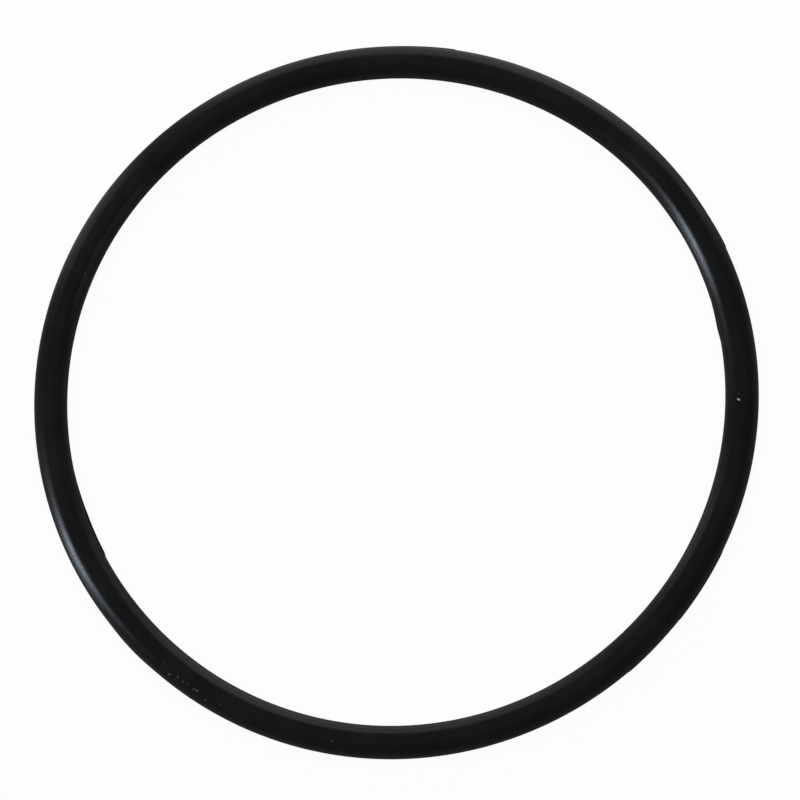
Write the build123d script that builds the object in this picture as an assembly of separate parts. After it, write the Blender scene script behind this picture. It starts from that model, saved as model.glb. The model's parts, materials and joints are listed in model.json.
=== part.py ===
from build123d import *

import os

# Water pump gasket: a rubber O-ring, moulded in one piece.
# Millimetres, +Z up. The ring lies flat. Its origin is the middle of the ring, halfway up the
# section, where the two mould halves met. +Z is the axis of the pump that it seals.

# ---- Driving dimensions ----

inside_diameter = 70.0  # bore of the free ring, between the rounds of its section
section_diameter = 3.5  # thickness of the round rubber section
parting_line_height = 0.2  # height, along Z, of the trimmed line left by the mould
inner_line_proud = 0.03  # how far that line stands off the round section in the bore
outer_line_proud = 0.03  # and how far it stands off around the outside

# ---- Sizes that follow from them ----

section_radius = section_diameter / 2
section_centre_radius = inside_diameter / 2 + section_radius
bore_seat_radius = inside_diameter / 2 - inner_line_proud
outside_seat_radius = inside_diameter / 2 + section_diameter + outer_line_proud


def ring_section():
    """The section in the XZ plane: a round of rubber, with the parting line on both sides."""
    round_rubber = Location((section_centre_radius, 0)) * Circle(section_radius)
    line_width = outside_seat_radius - bore_seat_radius
    line_middle = (outside_seat_radius + bore_seat_radius) / 2
    parting_line = Location((line_middle, 0)) * Rectangle(line_width, parting_line_height)
    return Plane.XZ * (round_rubber + parting_line)


def moulded_ring():
    """The whole ring. Its parting line gives the two narrow cylinders that it seats on."""
    return revolve(ring_section(), axis=Axis.Z, revolution_arc=360)


os.makedirs("parts", exist_ok=True)

o_ring = moulded_ring()
export_step(o_ring, "parts/o_ring.step")

print(f"bore over the parting line: {2 * bore_seat_radius:.2f} mm")
print(f"outside over the parting line: {2 * outside_seat_radius:.2f} mm")
print(f"volume: {o_ring.volume:.1f} mm3")
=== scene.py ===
import json
import math
import random

import bpy
from mathutils import Matrix, Vector


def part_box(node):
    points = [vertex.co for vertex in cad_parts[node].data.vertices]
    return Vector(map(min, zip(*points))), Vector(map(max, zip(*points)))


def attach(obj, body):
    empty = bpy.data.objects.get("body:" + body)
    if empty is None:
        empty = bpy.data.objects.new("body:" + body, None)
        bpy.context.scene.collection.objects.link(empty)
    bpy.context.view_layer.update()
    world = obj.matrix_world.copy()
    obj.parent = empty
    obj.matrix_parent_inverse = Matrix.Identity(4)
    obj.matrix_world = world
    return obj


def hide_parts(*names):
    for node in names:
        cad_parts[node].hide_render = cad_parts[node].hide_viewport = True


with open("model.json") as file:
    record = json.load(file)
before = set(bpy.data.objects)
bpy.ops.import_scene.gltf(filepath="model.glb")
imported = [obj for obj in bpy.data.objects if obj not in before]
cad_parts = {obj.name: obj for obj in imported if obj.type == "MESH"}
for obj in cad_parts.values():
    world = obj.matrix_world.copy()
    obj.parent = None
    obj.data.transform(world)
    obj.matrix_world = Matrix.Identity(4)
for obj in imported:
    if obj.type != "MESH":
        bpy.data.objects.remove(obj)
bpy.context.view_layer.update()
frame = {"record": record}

# A water pump gasket: a black rubber O-ring, moulded in one piece, lying flat on a pale floor.
# Everything is in metres, in the ring's own frame: Z is the ring's axis and the origin its middle.
# Angles round the ring are in degrees, from +X towards +Y.

MM = 0.001

# ---- Sizes from the frame ----

seats = {mount["name"]: mount["dims"] for mount in frame["record"]["mounts"]}
BORE_SEAT = seats["spigot_seat"]["r_mm"] * MM
OUTSIDE_SEAT = seats["housing_seat"]["r_mm"] * MM
LINE_HALF_HEIGHT = seats["spigot_seat"]["length_mm"] / 2 * MM
SECTION_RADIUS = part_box("o_ring")[1].z
FLOOR_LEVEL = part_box("o_ring")[0].z
CENTRE_RADIUS = (BORE_SEAT + OUTSIDE_SEAT) / 2

# ---- The ring's mesh ----

SECTION_SIDES = 40  # flats around the section, before the parting line is cut in
RING_STEPS = 1440  # sections around the ring
MERGE_WITHIN = 0.005 * MM
CREST_WITHIN = 0.01 * MM  # how near its seat radius a vertex counts as on the crest of the line
SHARP_OVER = math.radians(40)

# The rubber has set a little out of round, in three lobes.
LOBES = 3
LOBE_HEIGHT = 0.057 * MM  # above and below the mean circle
LOBE_CREST = 27  # where one lobe stands furthest out
PUSH_TARGET = 1.0  # far outside the ring, so that a push moves a whole section alike

# What the trimming left of the flash: where it starts, where it is full, where that ends and
# where it has gone, in degrees, then how far it stands out from the parting line.
OUTSIDE_FLASH = (
    (24, 24.5, 25.5, 30, 0.07 * MM),
    (80, 80.5, 82, 90, 0.07 * MM),
    (218, 222, 225, 229, 0.06 * MM),
    (309.5, 310, 311, 318, 0.05 * MM),
    (321, 321.5, 333.5, 334, 0.04 * MM),
)
BORE_FLASH = (
    (9, 11.5, 12, 16.5, 0.10 * MM),
    (192, 200, 207.5, 208.5, 0.12 * MM),
)
# Where the trimming cut into the parting line instead.
OUTSIDE_CUTS = ((334, 334.5, 340, 340.5, 0.04 * MM),)
BORE_CUTS = ((22, 23, 30.5, 31.5, 0.05 * MM),)
FLASH_SHOULDER = 0.4  # height of the flash at the line's two edges, as a share of its crest


def deselect_everything():
    bpy.ops.object.select_all(action="DESELECT")


def edit(piece):
    deselect_everything()
    piece.select_set(True)
    bpy.context.view_layer.objects.active = piece
    bpy.ops.object.mode_set(mode="EDIT")


def select_line(ring, side):
    """Selects the faces of the parting line on one side: 1 is the outside, -1 the bore."""
    bpy.ops.mesh.select_all(action="DESELECT")
    bpy.ops.object.mode_set(mode="OBJECT")
    for face in ring.data.polygons:
        x, y, z = face.center
        outwards = (math.hypot(x, y) - CENTRE_RADIUS) * side > 0
        face.select = abs(z) < LINE_HALF_HEIGHT and outwards
    bpy.ops.object.mode_set(mode="EDIT")


def raise_line(ring, side, seat, surface):
    """Raises the parting line on one side of the ring to the radius of its seat."""
    select_line(ring, side)
    bpy.ops.mesh.extrude_region()
    grow = seat / surface
    bpy.ops.transform.resize(value=(grow, grow, 1), center_override=(0, 0, 0))


def flash_height(angle, remnants):
    """How far the flash stands out at an angle."""
    height = 0.0
    for start, full, full_end, end, crest in remnants:
        if start < angle < end:
            rise = min(1.0, (angle - start) / (full - start))
            fall = min(1.0, (end - angle) / (end - full_end))
            height = max(height, crest * min(rise, fall))
    return height


def push_radially(ring, name, target, amount, share_at):
    """Pushes vertices towards the target radius. share_at(x, y, z) gives each one's share."""
    group = ring.vertex_groups.new(name=name)
    for vertex in ring.data.vertices:
        share = share_at(*vertex.co)
        if share > 0:
            group.add([vertex.index], share, "REPLACE")
    deselect_everything()
    ring.select_set(True)
    bpy.context.view_layer.objects.active = ring
    bpy.ops.object.modifier_add(type="CAST")
    push = ring.modifiers[-1]
    push.cast_type = "CYLINDER"
    push.use_z = False
    push.use_radius_as_size = False
    push.size = target
    push.factor = amount
    push.vertex_group = name
    bpy.ops.object.modifier_apply(modifier=push.name)
    ring.vertex_groups.remove(ring.vertex_groups[name])


def leave_flash(ring, name, side, seat, remnants, outwards):
    """Leaves the flash remnants, or the cuts, on the crest of one parting line."""
    tallest = max(remnant[-1] for remnant in remnants)

    def share_at(x, y, z):
        on_line = abs(z) < 1.1 * LINE_HALF_HEIGHT
        on_crest = (math.hypot(x, y) - seat) * side > -CREST_WITHIN
        if not (on_line and on_crest):
            return 0.0
        angle = math.degrees(math.atan2(y, x)) % 360
        crest = 1.0 if abs(z) < 0.5 * LINE_HALF_HEIGHT else FLASH_SHOULDER
        return crest * flash_height(angle, remnants) / tallest

    push_radially(ring, name, seat + side * outwards * tallest, 1.0, share_at)


def set_out_of_round(ring):
    """Pushes the ring out at its three lobes, then shrinks all of it back to its mean radius."""
    amount = 2 * LOBE_HEIGHT / (PUSH_TARGET - CENTRE_RADIUS)

    def share_at(x, y, z):
        angle = math.degrees(math.atan2(y, x))
        return 0.5 + 0.5 * math.cos(math.radians(LOBES * (angle - LOBE_CREST)))

    push_radially(ring, "lobes", PUSH_TARGET, amount, share_at)
    shrink = 1 - LOBE_HEIGHT / CENTRE_RADIUS
    edit(ring)
    bpy.ops.mesh.select_all(action="SELECT")
    bpy.ops.transform.resize(value=(shrink, shrink, 1), center_override=(0, 0, 0))
    bpy.ops.object.mode_set(mode="OBJECT")


def moulded_ring():
    """A round section spun about Z, with the parting line raised in the bore and outside."""
    deselect_everything()
    bpy.ops.mesh.primitive_circle_add(
        vertices=SECTION_SIDES,
        radius=SECTION_RADIUS,
        location=(CENTRE_RADIUS, 0, 0),
        rotation=(math.pi / 2, 0, 0),
    )
    ring = bpy.context.object
    ring.name = "moulded_ring"
    bpy.ops.object.transform_apply(location=True, rotation=True, scale=True)
    bpy.ops.object.mode_set(mode="EDIT")
    bpy.ops.mesh.select_mode(type="FACE")
    bpy.ops.mesh.select_all(action="SELECT")
    bpy.ops.mesh.spin(steps=RING_STEPS, angle=math.tau, center=(0, 0, 0), axis=(0, 0, 1))
    bpy.ops.mesh.select_all(action="SELECT")
    bpy.ops.mesh.remove_doubles(threshold=MERGE_WITHIN)
    bpy.ops.mesh.normals_make_consistent(inside=False)
    for height in (-LINE_HALF_HEIGHT, LINE_HALF_HEIGHT):
        bpy.ops.mesh.select_all(action="SELECT")
        bpy.ops.mesh.bisect(plane_co=(0, 0, height), plane_no=(0, 0, 1))
    raise_line(ring, 1, OUTSIDE_SEAT, CENTRE_RADIUS + SECTION_RADIUS)
    raise_line(ring, -1, BORE_SEAT, CENTRE_RADIUS - SECTION_RADIUS)
    bpy.ops.object.mode_set(mode="OBJECT")
    leave_flash(ring, "outside_flash", 1, OUTSIDE_SEAT, OUTSIDE_FLASH, 1)
    leave_flash(ring, "outside_cuts", 1, OUTSIDE_SEAT, OUTSIDE_CUTS, -1)
    leave_flash(ring, "bore_flash", -1, BORE_SEAT, BORE_FLASH, 1)
    leave_flash(ring, "bore_cuts", -1, BORE_SEAT, BORE_CUTS, -1)
    set_out_of_round(ring)
    deselect_everything()
    ring.select_set(True)
    bpy.ops.object.shade_smooth_by_angle(angle=SHARP_OVER)
    return ring


# ---- Lint and grit stuck to the rubber ----

# Places are an angle round the ring, and a distance out from the middle of the section.
LINT_ANGLE, LINT_ACROSS = 358.5, -0.3 * MM
LINT_LENGTH, LINT_WIDTH, LINT_POINTS = 0.48 * MM, 0.21 * MM, -22

# Most of the grit lies in a short row on the outer half of the upper face.
ROW_GRAINS = 7
ROW_START, ROW_END = 230.5, 238.5
ROW_ACROSS = 1.0 * MM
ROW_SCATTER = 0.2 * MM  # to each side
GRAIN_LENGTHS = (0.2 * MM, 0.45 * MM)
GRAIN_WIDTHS = (0.5, 0.8)  # of its length
LONE_GRAINS = ((229.5, 0.5 * MM), (260, 0.6 * MM), (359.5, -0.3 * MM))
LONE_GRAIN_LENGTHS = (0.16 * MM, 0.25 * MM)
GRIT_SEED = 5
SPECK_THICKNESS = 0.5  # of its width
SPECK_UNEVENNESS = 0.09  # of its width


def place_on_ring(angle, across):
    """The point on the upper face of the rubber, and the way its surface leans outwards."""
    lean = math.asin(across / SECTION_RADIUS)
    radius = CENTRE_RADIUS + across
    a = math.radians(angle)
    height = SECTION_RADIUS * math.cos(lean)
    return Vector((radius * math.cos(a), radius * math.sin(a), height)), a, lean


def speck(angle, across, length, width, points, seed):
    """One grain, half sunk in the rubber: a flattened, uneven, slightly broken-edged chip."""
    place, a, lean = place_on_ring(angle, across)
    deselect_everything()
    bpy.ops.mesh.primitive_ico_sphere_add(subdivisions=2, radius=0.5 * width, location=(0, 0, 0))
    chip = bpy.context.object
    bpy.ops.object.mode_set(mode="EDIT")
    bpy.ops.mesh.select_all(action="SELECT")
    stretch = (length / width, 1, SPECK_THICKNESS)
    bpy.ops.transform.resize(value=stretch, center_override=(0, 0, 0))
    bpy.ops.transform.vertex_random(offset=SPECK_UNEVENNESS * width, uniform=1.0, normal=0.0, seed=seed)
    bpy.ops.object.mode_set(mode="OBJECT")
    turn = Matrix.Rotation(math.radians(points), 4, "Z")
    tilt = Matrix.Rotation(lean, 4, Vector((-math.sin(a), math.cos(a), 0)))
    chip.matrix_world = Matrix.Translation(place) @ tilt @ turn
    bpy.ops.object.transform_apply(location=True, rotation=True, scale=True)
    return chip


def grain(angle, across, lengths, chance, seed):
    """One grain of grit, with a size and a direction left to chance."""
    length = chance.uniform(*lengths)
    width = length * chance.uniform(*GRAIN_WIDTHS)
    return speck(angle, across, length, width, chance.uniform(-60, 60), seed)


def scattered_grit():
    """A row of grains spread along the ring, and a few that lie alone."""
    chance = random.Random(GRIT_SEED)
    spacing = (ROW_END - ROW_START) / ROW_GRAINS
    grains = []
    for i in range(ROW_GRAINS):
        angle = ROW_START + spacing * (i + chance.uniform(0.1, 0.9))
        across = ROW_ACROSS + chance.uniform(-ROW_SCATTER, ROW_SCATTER)
        grains.append(grain(angle, across, GRAIN_LENGTHS, chance, seed=i))
    for i, (angle, across) in enumerate(LONE_GRAINS):
        grains.append(grain(angle, across, LONE_GRAIN_LENGTHS, chance, seed=ROW_GRAINS + i))
    return grains


def one_piece(name, grains):
    """Joins the grains, or the one speck of lint, and names the piece."""
    deselect_everything()
    for each in grains:
        each.select_set(True)
    bpy.context.view_layer.objects.active = grains[0]
    if len(grains) > 1:
        bpy.ops.object.join()
    grains[0].name = name
    bpy.ops.object.shade_smooth()
    return grains[0]


# ---- Materials ----


class Nodes:
    """Adds nodes to one material or world and joins them."""

    def __init__(self, owner):
        owner.use_nodes = True
        self.tree = owner.node_tree

    def find(self, name):
        return self.tree.nodes[name]

    def add(self, kind, **settings):
        node = self.tree.nodes.new("ShaderNode" + kind)
        for key, value in settings.items():
            setattr(node, key, value)
        return node

    def join(self, source, target):
        self.tree.links.new(source, target)

    def math(self, operation, *values):
        """A Math node. Each value is a socket or a number."""
        node = self.add("Math", operation=operation)
        for place, value in enumerate(values):
            if isinstance(value, (int, float)):
                node.inputs[place].default_value = value
            else:
                self.join(value, node.inputs[place])
        return node.outputs[0]

    def spread(self, value, low, high, to_low, to_high):
        """Stretches the range low to high over to_low to to_high, and stops at both ends."""
        node = self.add("MapRange", clamp=True)
        self.join(value, node.inputs["Value"])
        for name, number in (
            ("From Min", low),
            ("From Max", high),
            ("To Min", to_low),
            ("To Max", to_high),
        ):
            node.inputs[name].default_value = number
        return node.outputs[0]

    def noise(self, vector, scale, detail, roughness):
        node = self.add("TexNoise")
        self.join(vector, node.inputs["Vector"])
        node.inputs["Scale"].default_value = scale
        node.inputs["Detail"].default_value = detail
        node.inputs["Roughness"].default_value = roughness
        return node.outputs["Fac"]

    def blend(self, share, first, second):
        """Mixes two colours. Each is a socket or three numbers."""
        node = self.add("Mix", data_type="RGBA")
        self.join(share, node.inputs["Factor"])
        for name, colour in ((6, first), (7, second)):
            if isinstance(colour, tuple):
                node.inputs[name].default_value = (*colour, 1)
            else:
                self.join(colour, node.inputs[name])
        return node.outputs[2]


def along_the_ring(nodes, position, circle):
    """Coordinates that run slowly along the ring and quickly around its section."""
    split = nodes.add("SeparateXYZ")
    nodes.join(position, split.inputs[0])
    x, y, z = split.outputs
    angle = nodes.math("ARCTAN2", y, x)
    squares = nodes.math("MULTIPLY_ADD", x, x, nodes.math("MULTIPLY", y, y))
    radius = nodes.math("SQRT", squares)
    turned = nodes.math("ARCTAN2", z, nodes.math("SUBTRACT", radius, CENTRE_RADIUS))
    joined = nodes.add("CombineXYZ")
    nodes.join(nodes.math("MULTIPLY", nodes.math("DIVIDE", x, radius), circle), joined.inputs[0])
    nodes.join(nodes.math("MULTIPLY", nodes.math("DIVIDE", y, radius), circle), joined.inputs[1])
    nodes.join(turned, joined.inputs[2])
    return joined.outputs[0], angle, turned, z


BLACK = (0.0050, 0.0050, 0.0054)
BLOOM = (0.0088, 0.0085, 0.0083)
DUST = (0.045, 0.045, 0.043)
RUBBER_SPECULAR = 0.35
DUST_CELLS = 820  # a metre
GRAIN_DEPTH = 0.007 * MM
SATIN = (0.255, 0.305)  # roughness of the smoother and the duller patches
FLOW_SATIN = (-0.025, 0.03)  # what the flow marks take from it or add
DULL_DUST = 0.3  # what dust adds to it
FLOW_CIRCLE = 9  # radius of the circle that the ring is laid on to place the flow marks

# Painted sheen: a faint purple-grey band of reflected light painted into the colour high on the bore
# side, from one angle round the ring to the other.
PAINTED_SHEEN = (0.0185, 0.0160, 0.0205)
PAINTED_SHEEN_FROM, PAINTED_SHEEN_TO = math.radians(137), math.radians(164)
PAINTED_SHEEN_TURN = math.radians(132)  # its middle, round the section from the outside equator
PAINTED_SHEEN_HALF_WIDTH = math.radians(15)
PAINTED_SHEEN_WANDER = 0.30  # how far the flow marks shift it from side to side, in radians


def painted_sheen_band(nodes, angle, turned, flow, mottle):
    """How strongly the painted sheen shows: an uneven band that fades out at both ends."""
    start = nodes.spread(angle, PAINTED_SHEEN_FROM - 0.04, PAINTED_SHEEN_FROM + 0.06, 0, 1)
    end = nodes.spread(angle, PAINTED_SHEEN_TO - 0.04, PAINTED_SHEEN_TO + 0.05, 1, 0)
    off_middle = nodes.math("SUBTRACT", turned, PAINTED_SHEEN_TURN + PAINTED_SHEEN_WANDER / 2)
    wandering = nodes.math("MULTIPLY_ADD", flow, PAINTED_SHEEN_WANDER, off_middle)
    distance = nodes.math("ABSOLUTE", wandering)
    across = nodes.spread(distance, 0.35 * PAINTED_SHEEN_HALF_WIDTH, PAINTED_SHEEN_HALF_WIDTH, 1, 0)
    band = nodes.math("MULTIPLY", nodes.math("MULTIPLY", start, end), across)
    return nodes.math("MULTIPLY", band, nodes.spread(mottle, 0.25, 0.75, 0.45, 1))


def black_rubber():
    """Satin black rubber: fine moulded grain, faint flow marks, a thin bloom, a little dust and a band of
    painted sheen on the bore side.
    """
    material = bpy.data.materials.new("black_rubber")
    nodes = Nodes(material)
    shader = nodes.find("Principled BSDF")
    position = nodes.add("TexCoord").outputs["Object"]
    flow_position, angle, turned, height = along_the_ring(nodes, position, FLOW_CIRCLE)

    patches = nodes.noise(position, scale=130, detail=3, roughness=0.6)
    flow = nodes.noise(flow_position, scale=3.2, detail=4, roughness=0.62)
    mottle = nodes.noise(position, scale=900, detail=3, roughness=0.6)
    moulded_grain = nodes.noise(position, scale=3600, detail=2, roughness=0.5)

    bloom = nodes.math(
        "MULTIPLY", nodes.spread(patches, 0.38, 0.68, 0, 1), nodes.spread(mottle, 0.3, 0.75, 0.35, 1)
    )
    colour = nodes.blend(bloom, BLACK, BLOOM)
    # Painted sheen: a faint purple-grey band laid over the colour high on the bore side, standing in for
    # a band of reflected light.
    colour = nodes.blend(painted_sheen_band(nodes, angle, turned, flow, mottle), colour, PAINTED_SHEEN)

    cells = nodes.add("TexVoronoi", feature="F1")
    nodes.join(position, cells.inputs["Vector"])
    cells.inputs["Scale"].default_value = DUST_CELLS
    spot = nodes.spread(cells.outputs["Distance"], 0.06, 0.13, 1, 0)
    picked = nodes.add("SeparateColor")
    nodes.join(cells.outputs["Color"], picked.inputs[0])
    few = nodes.spread(picked.outputs[0], 0.90, 1.0, 0, 1)
    settled = nodes.spread(height, 0.1 * MM, 1.0 * MM, 0, 1)
    dust = nodes.math("MULTIPLY", nodes.math("MULTIPLY", spot, few), settled)
    nodes.join(nodes.blend(dust, colour, DUST), shader.inputs["Base Color"])

    satin = nodes.spread(patches, 0.3, 0.7, *SATIN)
    streaked = nodes.math("ADD", satin, nodes.spread(flow, 0.3, 0.7, *FLOW_SATIN))
    dulled = nodes.math("MULTIPLY_ADD", dust, DULL_DUST, streaked)
    nodes.join(dulled, shader.inputs["Roughness"])

    surface = nodes.add("Bump")
    surface.inputs["Strength"].default_value = 0.5
    surface.inputs["Distance"].default_value = GRAIN_DEPTH
    fine = nodes.math("MULTIPLY_ADD", flow, 1.2, moulded_grain)
    heights = nodes.math("MULTIPLY_ADD", mottle, 1.6, fine)
    nodes.join(heights, surface.inputs["Height"])
    nodes.join(surface.outputs[0], shader.inputs["Normal"])
    shader.inputs["Specular IOR Level"].default_value = RUBBER_SPECULAR
    return material


LINT_SHADES = ((0.20, 0.20, 0.19), (0.34, 0.34, 0.33))
GRIT_SHADES = ((0.030, 0.030, 0.030), (0.066, 0.065, 0.063))


def speck_material(name, dark, pale):
    """Dry, uneven grit or lint."""
    material = bpy.data.materials.new(name)
    nodes = Nodes(material)
    shader = nodes.find("Principled BSDF")
    position = nodes.add("TexCoord").outputs["Object"]
    uneven = nodes.noise(position, scale=9000, detail=3, roughness=0.6)
    nodes.join(nodes.blend(nodes.spread(uneven, 0.3, 0.7, 0, 1), dark, pale), shader.inputs["Base Color"])
    nodes.join(nodes.spread(uneven, 0.3, 0.7, 0.75, 0.95), shader.inputs["Roughness"])
    surface = nodes.add("Bump")
    surface.inputs["Strength"].default_value = 0.6
    surface.inputs["Distance"].default_value = 0.02 * MM
    nodes.join(uneven, surface.inputs["Height"])
    nodes.join(surface.outputs[0], shader.inputs["Normal"])
    return material


# How much of the plain white each kind of ray sees in the floor and in the world.
SEEN_BY_CAMERA = 0.95
SEEN_THROUGH = 0.95
FLOOR_IN_GLOSS = 0.06
WORLD_IN_GLOSS = 0.02

FLOOR_SIZE = 8
FLOOR_GREY = (0.8, 0.8, 0.8)
POLISHED_GREY = (0.75, 0.75, 0.75)
POLISHED_ROUGHNESS = 0.2
POLISHED_SHARE = 0.95  # of the lit floor, to a glossy ray


def white_share(nodes, path, seen_in_gloss):
    """The share of plain white, by the kind of ray that looks."""
    share = nodes.math("MULTIPLY", path.outputs["Is Camera Ray"], SEEN_BY_CAMERA)
    share = nodes.math("MULTIPLY_ADD", path.outputs["Is Glossy Ray"], seen_in_gloss, share)
    return nodes.math("MULTIPLY_ADD", path.outputs["Is Transmission Ray"], SEEN_THROUGH, share)


def pale_floor():
    """A pale matt floor that keeps the ring's shadow, and that looks polished to glossy rays."""
    material = bpy.data.materials.new("pale_floor")
    nodes = Nodes(material)
    nodes.tree.nodes.clear()
    output = nodes.add("OutputMaterial")
    path = nodes.add("LightPath")
    matt = nodes.add("BsdfDiffuse")
    matt.inputs["Color"].default_value = (*FLOOR_GREY, 1)
    polished = nodes.add("BsdfGlossy")
    polished.inputs["Color"].default_value = (*POLISHED_GREY, 1)
    polished.inputs["Roughness"].default_value = POLISHED_ROUGHNESS
    white = nodes.add("Emission")
    white.inputs["Color"].default_value = (1, 1, 1, 1)
    lit = nodes.add("MixShader")
    nodes.join(nodes.math("MULTIPLY", path.outputs["Is Glossy Ray"], POLISHED_SHARE), lit.inputs[0])
    nodes.join(matt.outputs[0], lit.inputs[1])
    nodes.join(polished.outputs[0], lit.inputs[2])
    both = nodes.add("MixShader")
    nodes.join(white_share(nodes, path, FLOOR_IN_GLOSS), both.inputs[0])
    nodes.join(lit.outputs[0], both.inputs[1])
    nodes.join(white.outputs[0], both.inputs[2])
    nodes.join(both.outputs[0], output.inputs["Surface"])
    return material


# ---- Floor, light and camera ----


def floor():
    deselect_everything()
    bpy.ops.mesh.primitive_plane_add(size=FLOOR_SIZE, location=(0, 0, FLOOR_LEVEL))
    plane = bpy.context.object
    plane.name = "floor"
    plane.data.materials.append(pale_floor())
    return plane


LEVEL = 1.45  # the strip lamps and the panels together
KEY_AZIMUTH, KEY_DISTANCE, KEY_DEGREES_WIDE = 194.1, 2.0, 6
KEY_ON_RUBBER = 11.6 * LEVEL
KEY_ON_FLOOR = 4.2 * LEVEL
KEY_COLOUR = (0.88, 1.0, 1.16)
PANEL_DISTANCE = 0.2
OVERHEAD_WIDTH, OVERHEAD_HEIGHT, OVERHEAD_POWER = 1.4, 1.2, 12.5
WORLD_GREY = (0.06, 0.06, 0.06)

# Each panel: its name, azimuth, top and width in degrees, strength and colour.
PANELS = (
    ("panel_far_right", 48, 22, 22, 0.36 * LEVEL, (0.98, 1, 1.03)),
    ("panel_right", 73, 36, 28, 0.62 * LEVEL, (0.95, 1.0, 1.04)),
    ("panel_middle", 104, 36, 34, 0.44 * LEVEL, (1.01, 1.01, 0.96)),
    ("panel_left", 143, 36, 16, 0.48 * LEVEL, (1.04, 1.03, 0.88)),
)


def panel(name, azimuth, distance, top_angle, degrees_wide, radiance, colour):
    """An upright panel facing the ring, standing at its level. Its top is given in degrees up."""
    width = 2 * distance * math.tan(math.radians(degrees_wide / 2))
    height = distance * math.tan(math.radians(top_angle))
    data = bpy.data.lights.new(name, "AREA")
    data.shape = "RECTANGLE"
    data.size = width
    data.size_y = height
    data.energy = radiance * math.pi * width * height
    data.color = colour
    made = bpy.data.objects.new(name, data)
    bpy.context.collection.objects.link(made)
    a = math.radians(azimuth)
    away = Vector((math.cos(a), math.sin(a), 0))
    made.location = away * distance + Vector((0, 0, height / 2))
    made.rotation_mode = "QUATERNION"
    made.rotation_quaternion = away.to_track_quat("Z", "Y")
    made.visible_camera = False
    return made


def overhead():
    """A wide soft lamp straight above. It lights the rubber evenly and leaves no shine on it."""
    data = bpy.data.lights.new("overhead", "AREA")
    data.shape = "DISK"
    data.size = OVERHEAD_WIDTH
    data.energy = OVERHEAD_POWER
    made = bpy.data.objects.new("overhead", data)
    bpy.context.collection.objects.link(made)
    made.location = (0, 0, OVERHEAD_HEIGHT)
    made.visible_camera = False
    made.visible_glossy = False


def light_only(lamp, pieces):
    """Keeps a lamp's light to the named pieces."""
    group = bpy.data.collections.new(lamp.name + "_lights")
    for piece in pieces:
        group.objects.link(piece)
    lamp.light_linking.receiver_collection = group


def key_lamp(name, top_angle, radiance, pieces):
    """The strip lamp on the left, which lights only the named pieces."""
    place = (KEY_AZIMUTH, KEY_DISTANCE, top_angle, KEY_DEGREES_WIDE)
    light_only(panel(name, *place, radiance, KEY_COLOUR), pieces)


def studio():
    """A dim grey room, white to the camera."""
    world = bpy.data.worlds.new("studio")
    bpy.context.scene.world = world
    nodes = Nodes(world)
    white = white_share(nodes, nodes.add("LightPath"), WORLD_IN_GLOSS)
    sky = nodes.blend(white, WORLD_GREY, (1.0, 1.0, 1.0))
    nodes.join(sky, nodes.find("Background").inputs["Color"])


def lights(rubber_and_specks, plane):
    """A strip lamp on the left, weaker on the floor, four soft panels behind, and an overhead."""
    key_lamp("key", 32, KEY_ON_RUBBER, rubber_and_specks)
    for name, azimuth, top_angle, degrees_wide, radiance, colour in PANELS:
        panel(name, azimuth, PANEL_DISTANCE, top_angle, degrees_wide, radiance, colour)
    key_lamp("key_on_floor", 26, KEY_ON_FLOOR, [plane])
    overhead()
    studio()


CAMERA_LENS = 327.3
CAMERA_LEAN = math.radians(12.0)  # off the ring's axis
CAMERA_TOWARDS = math.radians(291.14)
CAMERA_DISTANCE = 20.98 * CENTRE_RADIUS
AIM_RIGHT, AIM_DOWN = 0.52 * MM, 0.13 * MM


def camera():
    """Looks down on the ring from far off, leaning a little towards the near right."""
    data = bpy.data.cameras.new("camera")
    data.lens = CAMERA_LENS
    data.clip_start = 0.01
    made = bpy.data.objects.new("camera", data)
    bpy.context.collection.objects.link(made)
    turn = Matrix.Rotation(CAMERA_TOWARDS, 3, "Z") @ Matrix.Rotation(CAMERA_LEAN, 3, "Y")
    back = turn @ Vector((0, 0, 1))
    up = Vector((0, 1, 0))
    up = (up - back * up.dot(back)).normalized()
    right = up.cross(back)
    made.location = right * AIM_RIGHT - up * AIM_DOWN + back * CAMERA_DISTANCE
    made.rotation_mode = "QUATERNION"
    made.rotation_quaternion = Matrix((right, up, back)).transposed().to_quaternion()
    bpy.context.scene.camera = made


ring = moulded_ring()
ring.data.materials.append(black_rubber())
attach(ring, "root")
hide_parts("o_ring")

lint_speck = speck(LINT_ANGLE, LINT_ACROSS, LINT_LENGTH, LINT_WIDTH, LINT_POINTS, seed=0)
lint = one_piece("lint", [lint_speck])
lint.data.materials.append(speck_material("pale_lint", *LINT_SHADES))
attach(lint, "root")

grit = one_piece("grit", scattered_grit())
grit.data.materials.append(speck_material("grey_grit", *GRIT_SHADES))
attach(grit, "root")

lights([ring, lint, grit], floor())
camera()
bpy.context.scene.view_settings.view_transform = "Standard"
